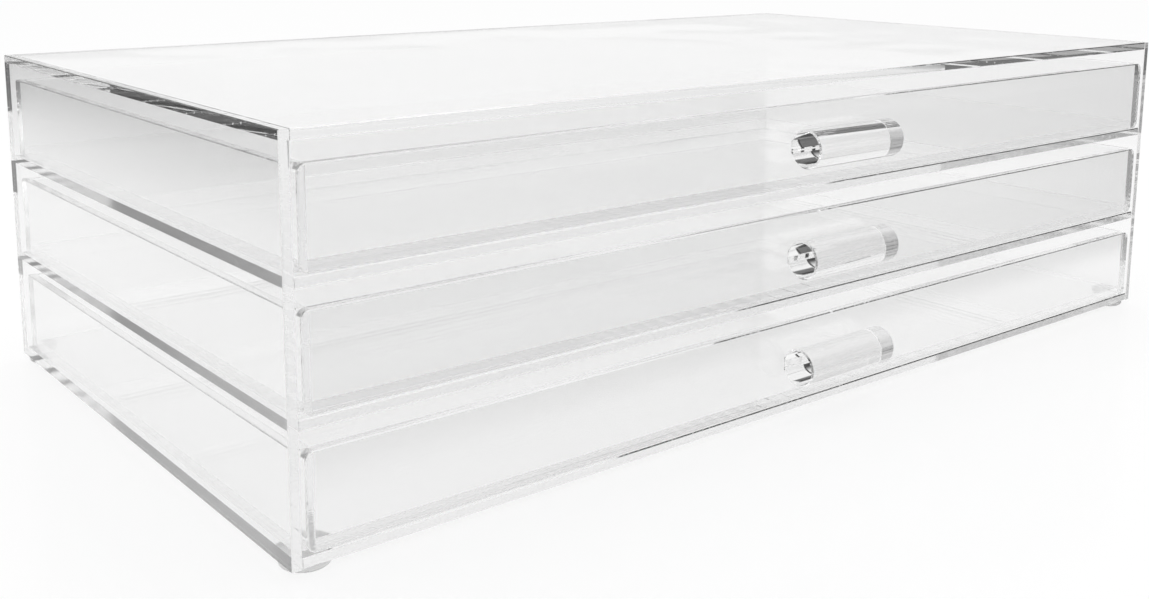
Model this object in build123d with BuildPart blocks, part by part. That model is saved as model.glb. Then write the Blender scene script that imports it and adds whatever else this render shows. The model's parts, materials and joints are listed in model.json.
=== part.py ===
import os

from build123d import *

# Three-drawer jewelry organizer of clear acrylic sheet, in millimetres.
# +X runs to the right, -Y to the front and +Z up; the origin is under the middle of the whole object.

# Case
case_width = 400.0
case_depth = 218.0
case_height = 112.0  # sides, without the feet
drawer_names = ("bottom_drawer", "middle_drawer", "top_drawer")

# Sheet and joints
sheet = 3.0  # every panel is cut from the same sheet
bond_line = 0.05  # cement between bonded pieces
edge_break = 0.3  # bevel along the polished edges that face the user

# Drawers
side_gap = 1.6  # between a drawer and each side of the case
rear_gap = 0.6  # between a closed drawer and the back panel
run_gap = 0.3  # between a drawer and the shelf it slides on
headroom = 5.8  # between a drawer's top edge and the panel above it
front_corner_radius = 2.5

# Handles: a round rod bonded along a narrow flat
handle_diameter = 12.7
handle_length = 42.0
handle_flat_depth = 0.4
handle_end_bevel = 0.5

# Feet: soft round bumpers
foot_diameter = 14.0
foot_height = 2.0
foot_edge_share = 0.7  # roll of the lower rim, of the foot's height
foot_inset = 7.2  # foot's middle, from the case's front, back and sides

# Places that follow from the sizes above
handle_reach = handle_diameter - handle_flat_depth + bond_line
front_y = handle_reach / 2 - case_depth / 2
back_y = front_y + case_depth
middle_y = (front_y + back_y) / 2
case_base = foot_height + bond_line
inner_width = case_width - 2 * sheet
bonded_width = inner_width - 2 * bond_line
bay_pitch = (case_height - sheet) / len(drawer_names)
drawer_width = inner_width - 2 * side_gap
drawer_height = bay_pitch - sheet - run_gap - headroom
drawer_rear = back_y - sheet - rear_gap


def level_plane(y, z, x=0):
    """Plane facing up."""
    return Plane(origin=(x, y, z), x_dir=(1, 0, 0), z_dir=(0, 0, 1))


def front_plane(y, z):
    """Upright plane facing the front."""
    return Plane(origin=(0, y, z), x_dir=(1, 0, 0), z_dir=(0, -1, 0))


def side_plane(x, y, z):
    """Upright plane facing right."""
    return Plane(origin=(x, y, z), x_dir=(0, 1, 0), z_dir=(1, 0, 0))


def save(part, name):
    part.label = name
    export_step(part, f"parts/{name}.step")


os.makedirs("parts", exist_ok=True)

# Side panels: full height and depth, with the other panels bonded between them
for side_name, side_x in (("left", -case_width / 2), ("right", case_width / 2 - sheet)):
    with BuildPart() as side_panel:
        with BuildSketch(side_plane(side_x, middle_y, case_base + case_height / 2)):
            Rectangle(case_depth, case_height)
        extrude(amount=sheet)
        chamfer(side_panel.faces().sort_by(Axis.Y)[0].edges().filter_by(Axis.Z), edge_break)
        chamfer(side_panel.faces().sort_by(Axis.Z)[-1].edges().filter_by(Axis.Y), edge_break)
    save(side_panel.part, f"{side_name}_side_panel")

# Level panels: bottom, shelves and top at an even pitch; the shelves stop at the back panel
level_names = ("bottom_panel", "lower_shelf", "upper_shelf", "top_panel")
for level, level_name in enumerate(level_names):
    is_shelf = level_name.endswith("shelf")
    level_depth = case_depth - (sheet + bond_line if is_shelf else 0)
    with BuildPart() as level_panel:
        with BuildSketch(level_plane(front_y + level_depth / 2, case_base + level * bay_pitch)):
            Rectangle(bonded_width, level_depth)
        extrude(amount=sheet)
        chamfer(level_panel.faces().sort_by(Axis.Y)[0].edges().filter_by(Axis.X), edge_break)
    save(level_panel.part, level_name)

# Back panel: between the sides, standing on the bottom panel under the top panel
back_height = case_height - 2 * (sheet + bond_line)
with BuildPart() as back_panel:
    with BuildSketch(front_plane(back_y, case_base + case_height / 2)):
        Rectangle(bonded_width, back_height)
    extrude(amount=sheet)
save(back_panel.part, "back_panel")

# Feet: discs with a rolled lower rim
foot_x = case_width / 2 - foot_inset
for foot_name, x, y in (
    ("front_left_foot", -foot_x, front_y + foot_inset),
    ("front_right_foot", foot_x, front_y + foot_inset),
    ("rear_left_foot", -foot_x, back_y - foot_inset),
    ("rear_right_foot", foot_x, back_y - foot_inset),
):
    with BuildPart() as foot:
        with BuildSketch(level_plane(y, 0, x)):
            Circle(foot_diameter / 2)
        extrude(amount=foot_height)
        fillet(foot.edges().sort_by(Axis.Z)[0], foot_height * foot_edge_share)
    save(foot.part, foot_name)


def make_drawer(name, drawer_base):
    """One drawer: the front covers the sides' ends, and the floor is let in between the four walls."""
    let_in = sheet + bond_line
    walls_front = front_y + let_in
    walls_depth = drawer_rear - walls_front
    walls_middle_z = drawer_base + drawer_height / 2
    floor_width = drawer_width - 2 * let_in
    floor_depth = walls_depth - let_in

    with BuildPart() as front:
        with BuildSketch(front_plane(front_y + sheet, walls_middle_z)):
            RectangleRounded(drawer_width, drawer_height, front_corner_radius)
        extrude(amount=sheet)
        chamfer(front.faces().sort_by(Axis.Y)[0].edges(), edge_break)
    save(front.part, f"{name}_front")

    with BuildPart() as floor:
        with BuildSketch(level_plane(walls_front + floor_depth / 2, drawer_base)):
            Rectangle(floor_width, floor_depth)
        extrude(amount=sheet)
    save(floor.part, f"{name}_floor")

    for wall_name, wall_x in (("left", -drawer_width / 2), ("right", drawer_width / 2 - sheet)):
        with BuildPart() as wall:
            with BuildSketch(side_plane(wall_x, walls_front + walls_depth / 2, walls_middle_z)):
                Rectangle(walls_depth, drawer_height)
            extrude(amount=sheet)
            chamfer(wall.faces().sort_by(Axis.Z)[-1].edges().filter_by(Axis.Y), edge_break)
        save(wall.part, f"{name}_{wall_name}_side")

    with BuildPart() as back:
        with BuildSketch(front_plane(drawer_rear, walls_middle_z)):
            Rectangle(floor_width, drawer_height)
        extrude(amount=sheet)
        chamfer(back.faces().sort_by(Axis.Z)[-1].edges().filter_by(Axis.X), edge_break)
    save(back.part, f"{name}_back")

    handle_y = front_y - bond_line - handle_diameter / 2 + handle_flat_depth
    bond_plane = front_plane(front_y - bond_line, 0)
    with BuildPart() as handle:
        with BuildSketch(side_plane(-handle_length / 2, handle_y, walls_middle_z)):
            Circle(handle_diameter / 2)
        extrude(amount=handle_length)
        chamfer(handle.edges().filter_by(GeomType.CIRCLE), handle_end_bevel)
        split(bisect_by=bond_plane, keep=Keep.TOP)
    save(handle.part, f"{name}_handle")


for bay, drawer_name in enumerate(drawer_names):
    make_drawer(drawer_name, case_base + bay * bay_pitch + sheet + run_gap)
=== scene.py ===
import json
from math import radians

import bpy
from mathutils import Matrix, Vector


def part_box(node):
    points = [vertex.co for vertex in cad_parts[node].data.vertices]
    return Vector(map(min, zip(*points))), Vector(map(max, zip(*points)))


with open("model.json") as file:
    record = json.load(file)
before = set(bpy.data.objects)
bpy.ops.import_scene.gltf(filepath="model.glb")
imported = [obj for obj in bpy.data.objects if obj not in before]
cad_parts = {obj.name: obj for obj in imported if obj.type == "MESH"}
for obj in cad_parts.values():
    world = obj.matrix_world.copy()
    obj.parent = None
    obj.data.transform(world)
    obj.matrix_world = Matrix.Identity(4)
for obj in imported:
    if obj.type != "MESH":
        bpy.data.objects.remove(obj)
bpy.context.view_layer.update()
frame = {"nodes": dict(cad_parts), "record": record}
scene = bpy.context.scene
nodes = frame["nodes"]
bodies = frame["record"]["behaviour"]["bodies"]
mm = 0.001
smoothNoise, fineNoise, cloudNoise = 0.0, 1.0, 3.0  # layers of finer detail in a noise
print("frame loaded:", len(nodes), "pieces")


def linear(hexCode):  # sRGB hex to linear RGBA
    parts = [int(hexCode[i:i + 2], 16) / 255 for i in (0, 2, 4)]
    return tuple(c / 12.92 if c <= 0.04045 else ((c + 0.055) / 1.055) ** 2.4 for c in parts) + (1.0,)


def addNode(tree, kind, inputs={}, **settings):  # an input that is a socket is linked, any other is a value
    node = tree.nodes.new("ShaderNode" + kind)
    for name, value in settings.items():
        setattr(node, name, value)
    for name, value in inputs.items():
        if isinstance(value, bpy.types.NodeSocket):
            tree.links.new(value, node.inputs[name])
        else:
            node.inputs[name].default_value = value
    return node


def newMaterial(name):
    material = bpy.data.materials.new(name)
    material.use_nodes = True
    material.node_tree.nodes.clear()
    return material, material.node_tree


# Solvent-cemented joints: the cement fills the gap between bonded sheets, and the joint vanishes to light.
joint = {
    "reach": 0.1 * mm,  # faces closer than this, in one body, are bonded
    "slack": 0.01 * mm,  # how far a point may lie off its face, or one face past the other
    "overlap": 0.5 * mm,  # least width of a bond
    "depth": 0.02 * mm,  # how far a patch reaches either side of the face
    "noPatch": ("_foot", "_floor"),  # feet are taped on, and a drawer's floor is cemented all round
}


def faceExtent(name, axis, level):  # extent of the flat face of a node that lies at this level
    points = [v.co for v in nodes[name].data.vertices if abs(v.co[axis] - level) < joint["slack"]]
    return [min(p[i] for p in points) for i in range(3)], [max(p[i] for p in points) for i in range(3)]


def bondPatch(name, other):  # box, as centre and half size, round the patch of a node's face that is bonded
    low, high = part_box(name)
    otherLow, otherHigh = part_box(other)
    gaps = [max(low[i] - otherHigh[i], otherLow[i] - high[i]) for i in range(3)]
    near = [i for i in range(3) if -joint["slack"] < gaps[i] < joint["reach"]]
    if len(near) != 1 or any(gaps[i] > -joint["overlap"] for i in range(3) if i != near[0]):
        return None
    axis = near[0]
    isBeyond = low[axis] > otherLow[axis]
    level = low[axis] if isBeyond else high[axis]
    otherLevel = otherHigh[axis] if isBeyond else otherLow[axis]
    mine, theirs = faceExtent(name, axis, level), faceExtent(other, axis, otherLevel)
    start = [max(a, b) for a, b in zip(mine[0], theirs[0])]
    end = [min(a, b) for a, b in zip(mine[1], theirs[1])]
    start[axis], end[axis] = level - joint["depth"], level + joint["depth"]
    centre = Vector([(a + b) / 2 for a, b in zip(start, end)])
    half = Vector([(b - a) / 2 for a, b in zip(start, end)])
    return centre, half


def bondPatches(name):
    body = next(b for b in bodies.values() if name in b)
    others = [n for n in body if n != name and not n.endswith(joint["noPatch"])]
    return [patch for patch in (bondPatch(name, other) for other in others) if patch]


# Acrylic, cell-cast as sheet and drawn as rod: water-clear and glassy, and along its edges the eye finds the
# whole room. The cut edges are sawn, and flame-polished on the level sheets.
acrylic = {
    "ior": 1.49, "tint": "FEFEFE", "absorb": "C8C8C8", "density": 0.8,
    "rubbed": ("bottom_panel", "_shelf"),  # what a drawer slides on
    "haze": 0.06,  # roughness of the rub marks, which blur only light that runs along inside a sheet
    "hazeStart": 0.6, "hazeFull": 0.8,  # how far that light is turned from facing the surface
    "castWave": 35 * mm, "castDepth": 0.015 * mm,  # slow wave of the casting plates
    "sawPitch": 1.6 * mm, "sawDepth": 0.02 * mm,  # tooth marks on the upright sheets
    "polishedDepth": 0.003 * mm,  # what flame polish leaves of them on the level ones
    "dieLine": 1.2 * mm, "dieDepth": 0.003 * mm, "dieStretch": 0.02,  # drawn lines along a rod
    "faceTilt": 0.9,  # share of the normal across the sheet, above which it is a face and not a cut edge
}


def bondDistance(tree, place, name):  # below zero inside a bonded patch
    nearest = None
    for centre, half in bondPatches(name):
        offset = addNode(tree, "VectorMath", {0: place, 1: centre}, operation="SUBTRACT").outputs[0]
        apart = addNode(tree, "VectorMath", {0: offset}, operation="ABSOLUTE").outputs[0]
        beyond = addNode(tree, "VectorMath", {0: apart, 1: half}, operation="SUBTRACT").outputs[0]
        axes = addNode(tree, "SeparateXYZ", {0: beyond}).outputs
        flat = addNode(tree, "Math", {0: axes["X"], 1: axes["Y"]}, operation="MAXIMUM").outputs[0]
        distance = addNode(tree, "Math", {0: flat, 1: axes["Z"]}, operation="MAXIMUM").outputs[0]
        if nearest is None:
            nearest = distance
        else:
            nearest = addNode(tree, "Math", {0: nearest, 1: distance}, operation="MINIMUM").outputs[0]
    return nearest


def rubMarks(tree, backfacing):
    along = addNode(tree, "LayerWeight").outputs["Facing"]
    marks = addNode(tree, "MapRange", {
        "Value": along, "From Min": acrylic["hazeStart"], "From Max": acrylic["hazeFull"],
        "To Max": acrylic["haze"]}).outputs[0]
    return addNode(tree, "Math", {0: marks, 1: backfacing}, operation="MULTIPLY").outputs[0]


def rodHeight(tree, place):  # die lines along the rod
    stretch = (acrylic["dieStretch"], 1.0, 1.0)
    drawn = addNode(tree, "VectorMath", {0: place, 1: stretch}, operation="MULTIPLY").outputs[0]
    lines = addNode(tree, "TexNoise", {
        "Vector": drawn, "Scale": 1 / acrylic["dieLine"], "Detail": fineNoise}).outputs[0]
    return addNode(tree, "Math", {0: lines, 1: acrylic["dieDepth"]}, operation="MULTIPLY").outputs[0]


def thinAxis(name):
    low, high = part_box(name)
    return min(range(3), key=lambda i: high[i] - low[i])


def faceMask(tree, normal, thin):  # 1 on a sheet's faces, 0 on its cut edges
    across = addNode(tree, "SeparateXYZ", {0: normal}).outputs[thin]
    share = addNode(tree, "Math", {0: across}, operation="ABSOLUTE").outputs[0]
    return addNode(tree, "Math", {0: share, 1: acrylic["faceTilt"]}, operation="GREATER_THAN").outputs[0]


def sheetHeight(tree, place, thin, isFace):  # casting wave on the faces, tooth marks along the cut edges
    wave = addNode(tree, "TexNoise", {
        "Vector": place, "Scale": 1 / acrylic["castWave"], "Detail": smoothNoise}).outputs[0]
    face = addNode(tree, "Math", {0: wave, 1: acrylic["castDepth"]}, operation="MULTIPLY").outputs[0]
    longAxes = [0.0 if i == thin else 1.0 for i in range(3)]  # along a cut edge only one of the two changes
    run = addNode(tree, "VectorMath", {0: place, 1: longAxes}, operation="DOT_PRODUCT").outputs["Value"]
    teeth = addNode(tree, "TexNoise", {
        "W": run, "Scale": 1 / acrylic["sawPitch"], "Detail": smoothNoise}, noise_dimensions="1D").outputs[0]
    depth = acrylic["polishedDepth" if thin == 2 else "sawDepth"]
    edge = addNode(tree, "Math", {0: teeth, 1: depth}, operation="MULTIPLY").outputs[0]
    return addNode(tree, "Mix", {"Factor": isFace, "A": edge, "B": face}).outputs["Result"]


def acrylicMaterial(name):
    material, tree = newMaterial("castAcrylic_" + name)
    place = addNode(tree, "TexCoord").outputs["Object"]
    shader = addNode(tree, "BsdfPrincipled", {
        "Base Color": linear(acrylic["tint"]), "IOR": acrylic["ior"], "Roughness": 0.0,
        "Transmission Weight": 1.0})

    if name.endswith("_handle"):
        height = rodHeight(tree, place)
    else:
        geometry = addNode(tree, "NewGeometry").outputs
        thin = thinAxis(name)
        isFace = faceMask(tree, geometry["True Normal"], thin)
        height = sheetHeight(tree, place, thin, isFace)
    wavy = addNode(tree, "Bump", {"Height": height, "Strength": 1.0, "Distance": 1.0}).outputs[0]
    tree.links.new(wavy, shader.inputs["Normal"])

    if name.endswith(acrylic["rubbed"]):
        tree.links.new(rubMarks(tree, geometry["Backfacing"]), shader.inputs["Roughness"])

    if name.endswith("_floor"):  # let in between the walls: its cut edges vanish in the cement
        tree.links.new(isFace, shader.inputs["Alpha"])
    elif (bond := bondDistance(tree, place, name)) is not None:
        clear = addNode(tree, "Math", {0: bond, 1: 0.0}, operation="GREATER_THAN").outputs[0]
        tree.links.new(clear, shader.inputs["Alpha"])

    absorb = addNode(tree, "VolumeAbsorption", {
        "Color": linear(acrylic["absorb"]), "Density": acrylic["density"]})
    addNode(tree, "OutputMaterial", {"Surface": shader.outputs[0], "Volume": absorb.outputs[0]})
    return material


# Clear polyurethane bumpers, dome-cast: a soft milky body, a little cloudy, with a satin skin.
foot = {
    "colour": "C9C9C9", "cloudColour": "DCDCDC", "cloud": 2.5 * mm,
    "ior": 1.5, "satin": (0.22, 0.38), "clearness": 0.7,
    "skin": 0.3 * mm, "skinDepth": 0.01 * mm,
}


def footMaterial():
    material, tree = newMaterial("castPolyurethane")
    place = addNode(tree, "TexCoord").outputs["Object"]
    cloud = addNode(tree, "TexNoise", {
        "Vector": place, "Scale": 1 / foot["cloud"], "Detail": cloudNoise}).outputs[0]
    colour = addNode(tree, "Mix", {
        "Factor": cloud, "A": linear(foot["colour"]), "B": linear(foot["cloudColour"])}, data_type="RGBA")
    satin = addNode(tree, "MapRange", {
        "Value": cloud, "To Min": foot["satin"][0], "To Max": foot["satin"][1]}).outputs[0]
    grain = addNode(tree, "TexNoise", {
        "Vector": place, "Scale": 1 / foot["skin"], "Detail": fineNoise}).outputs[0]
    skin = addNode(tree, "Bump", {
        "Height": grain, "Strength": 1.0, "Distance": foot["skinDepth"]}).outputs[0]
    shader = addNode(tree, "BsdfPrincipled", {
        "Base Color": colour.outputs["Result"], "IOR": foot["ior"], "Roughness": satin,
        "Transmission Weight": foot["clearness"], "Normal": skin})
    addNode(tree, "OutputMaterial", {"Surface": shader.outputs[0]})
    return material


soft = footMaterial()
for name, node in nodes.items():
    node.data.materials.clear()
    node.data.materials.append(soft if name.endswith("_foot") else acrylicMaterial(name))
print("acrylic and feet finished")


# Studio: a pale floor whose glow is painted light, bright as if lit under and behind the object and painted
# dark in front and at the left, a white backdrop, light from above and a dim room in front. Straight through
# the clear sheets the eye finds white on every side; only reflected light finds the room.
studio = {
    "floorSize": 3.0,
    # painted light: the floor glows as if lit over this patch, which fades in, then out, along X and Y
    "paintedLightPatch": {"X": (-0.54, -0.27, 1.00, 1.20), "Y": (-0.17, -0.14, 1.20, 1.40)},  # fades in, then out
    "floorColour": "FFFFFF", "floorGlow": 0.9, "floorGloss": 0.04, "floorRoughness": 0.15,
    # the left and front levels also set the painted shade of the floor's glow beyond its bright patch
    "backdrop": 0.97, "sideWall": 0.5, "paintedSideFloor": 0.12, "room": 0.035,  # brightness behind, left, in front
    "paintedSideFloorFade": (-0.25, -0.35),  # where the painted dark floor in front gives way to the painted dim one at the left
    "sideWallFade": (-110, -80),  # degrees from +Y where the room gives way to the wall at the left
    "overhead": (20, 44),  # degrees above the horizon over which the room gives way to the light above
    "leftEdge": -18, "leftSoft": 28, "rightEdge": 85, "rightSoft": 8,  # where the backdrop ends, in degrees
    "lampSize": (1.2, 0.8), "lampPlace": (0.1, 0.1, 1.2), "lampPower": 6.0,
    "bounces": 160,  # light runs the length of a sheet before it leaves
}


def whiteInSight(tree, level):  # white to the camera, and near white to what it sees straight through a sheet
    path = addNode(tree, "LightPath").outputs
    belowOne = 0.5  # reflections, counted whole
    straight = addNode(tree, "Math", {0: path["Glossy Depth"], 1: belowOne}, operation="LESS_THAN").outputs[0]
    through = addNode(tree, "Math", {
        0: straight, 1: path["Is Transmission Ray"]}, operation="MULTIPLY").outputs[0]
    pale = addNode(tree, "Math", {0: through, 1: studio["backdrop"]}, operation="MULTIPLY").outputs[0]
    seen = addNode(tree, "Math", {0: path["Is Camera Ray"], 1: pale}, operation="MAXIMUM").outputs[0]
    return addNode(tree, "Math", {0: level, 1: seen}, operation="MAXIMUM").outputs[0]


# painted light and shade: the floor's glow, bright over a patch under and behind the object, dark in front
# and dim at the left
def paintedFloorGlow(tree):
    spot = addNode(tree, "SeparateXYZ", {0: addNode(tree, "TexCoord").outputs["Object"]}).outputs
    lit = None
    for axis, (begin, full, fade, end) in studio["paintedLightPatch"].items():
        for dark, bright in ((begin, full), (end, fade)):
            within = addNode(tree, "MapRange", {
                "Value": spot[axis], "From Min": dark, "From Max": bright},
                interpolation_type="SMOOTHSTEP").outputs[0]
            if lit is None:
                lit = within
            else:
                lit = addNode(tree, "Math", {0: lit, 1: within}, operation="MULTIPLY").outputs[0]
    front, left = studio["paintedSideFloorFade"]
    dim = addNode(tree, "MapRange", {
        "Value": spot["X"], "From Min": front, "From Max": left,
        "To Min": studio["room"], "To Max": studio["paintedSideFloor"]}).outputs[0]
    return addNode(tree, "MapRange", {"Value": lit, "To Min": dim, "To Max": studio["backdrop"]}).outputs[0]


def buildFloor():
    reach = studio["floorSize"]
    corners = [(-reach, -reach, 0), (reach, -reach, 0), (reach, reach, 0), (-reach, reach, 0)]
    mesh = bpy.data.meshes.new("floor")
    mesh.from_pydata(corners, [], [(0, 1, 2, 3)])
    floor = bpy.data.objects.new("floor", mesh)
    scene.collection.objects.link(floor)
    # the glow carries the floor's painted light and shade; the diffuse and gloss are its white lacquer
    material, tree = newMaterial("whiteLacquerAndPaintedGlow")
    strength = whiteInSight(tree, paintedFloorGlow(tree))
    base = addNode(tree, "BsdfDiffuse", {"Color": linear(studio["floorColour"])})
    glow = addNode(tree, "Emission", {"Color": (1, 1, 1, 1), "Strength": strength})
    body = addNode(tree, "MixShader", {0: studio["floorGlow"], 1: base.outputs[0], 2: glow.outputs[0]})
    gloss = addNode(tree, "BsdfGlossy", {"Color": (1, 1, 1, 1), "Roughness": studio["floorRoughness"]})
    surface = addNode(tree, "MixShader", {0: studio["floorGloss"], 1: body.outputs[0], 2: gloss.outputs[0]})
    addNode(tree, "OutputMaterial", {"Surface": surface.outputs[0]})
    mesh.materials.append(material)


def roomLevel(tree):
    way = addNode(tree, "SeparateXYZ", {0: addNode(tree, "TexCoord").outputs["Generated"]}).outputs
    turn = addNode(tree, "Math", {0: way["X"], 1: way["Y"]}, operation="ARCTAN2").outputs[0]  # from +Y to +X
    rise = addNode(tree, "Math", {0: way["Z"]}, operation="ARCSINE").outputs[0]
    leftEdge, leftSoft = studio["leftEdge"], studio["leftSoft"] / 2
    rightEdge, rightSoft = studio["rightEdge"], studio["rightSoft"] / 2
    fromLeft, fromRight, overhead = (
        addNode(tree, "MapRange", {
            "Value": angle, "From Min": radians(dark), "From Max": radians(bright)},
            interpolation_type="SMOOTHSTEP").outputs[0]
        for angle, dark, bright in (
            (turn, leftEdge - leftSoft, leftEdge + leftSoft),
            (turn, rightEdge + rightSoft, rightEdge - rightSoft),
            (rise, *studio["overhead"]),
        ))
    backdrop = addNode(tree, "Math", {0: fromLeft, 1: fromRight}, operation="MULTIPLY").outputs[0]
    lit = addNode(tree, "Math", {0: backdrop, 1: overhead}, operation="MAXIMUM").outputs[0]
    front, left = studio["sideWallFade"]
    beside = addNode(tree, "MapRange", {
        "Value": turn, "From Min": radians(front), "From Max": radians(left),
        "To Max": studio["sideWall"]}).outputs[0]
    isLeft = addNode(tree, "Math", {0: turn, 1: 0.0}, operation="LESS_THAN").outputs[0]
    side = addNode(tree, "Math", {0: beside, 1: isLeft}, operation="MULTIPLY").outputs[0]
    dim = addNode(tree, "Math", {0: side, 1: studio["room"]}, operation="MAXIMUM").outputs[0]
    return addNode(tree, "MapRange", {"Value": lit, "To Min": dim, "To Max": studio["backdrop"]}).outputs[0]


def buildWorld():
    world = bpy.data.worlds.new("studio")
    scene.world = world
    world.use_nodes = True
    tree = world.node_tree
    tree.nodes.clear()
    strength = whiteInSight(tree, roomLevel(tree))
    shader = addNode(tree, "Background", {"Color": (1, 1, 1, 1), "Strength": strength})
    addNode(tree, "OutputWorld", {"Surface": shader.outputs[0]})


def buildLamp():  # softbox over the table
    data = bpy.data.lights.new("softbox", "AREA")
    data.shape = "RECTANGLE"
    data.size, data.size_y = studio["lampSize"]
    data.energy = studio["lampPower"]
    lamp = bpy.data.objects.new("softbox", data)
    lamp.location = studio["lampPlace"]
    scene.collection.objects.link(lamp)


buildFloor()
buildWorld()
buildLamp()
scene.view_settings.view_transform = "Standard"
for limit in ("max_bounces", "glossy_bounces", "transmission_bounces", "transparent_max_bounces"):
    setattr(scene.cycles, limit, studio["bounces"])
print("studio set")

camera = {
    "place": (-0.3382, -0.3859, 0.1624),
    "towards": (0.6178, 0.7679, -0.1694), "right": (0.7798, -0.6261, 0.0055),
    "lens": 41.46, "sensor": 36.0, "shift": -0.1301, "nearest": 0.01, "farthest": 20.0,
}


def buildCamera():
    data = bpy.data.cameras.new("camera")
    eye = bpy.data.objects.new("camera", data)
    scene.collection.objects.link(eye)
    scene.camera = eye
    back = -Vector(camera["towards"]).normalized()
    right = Vector(camera["right"]).normalized()
    up = back.cross(right)
    eye.matrix_world = Matrix.Translation(camera["place"]) @ Matrix((right, up, back)).transposed().to_4x4()
    data.lens, data.sensor_width, data.shift_y = camera["lens"], camera["sensor"], camera["shift"]
    data.clip_start, data.clip_end = camera["nearest"], camera["farthest"]


buildCamera()
print("camera placed")
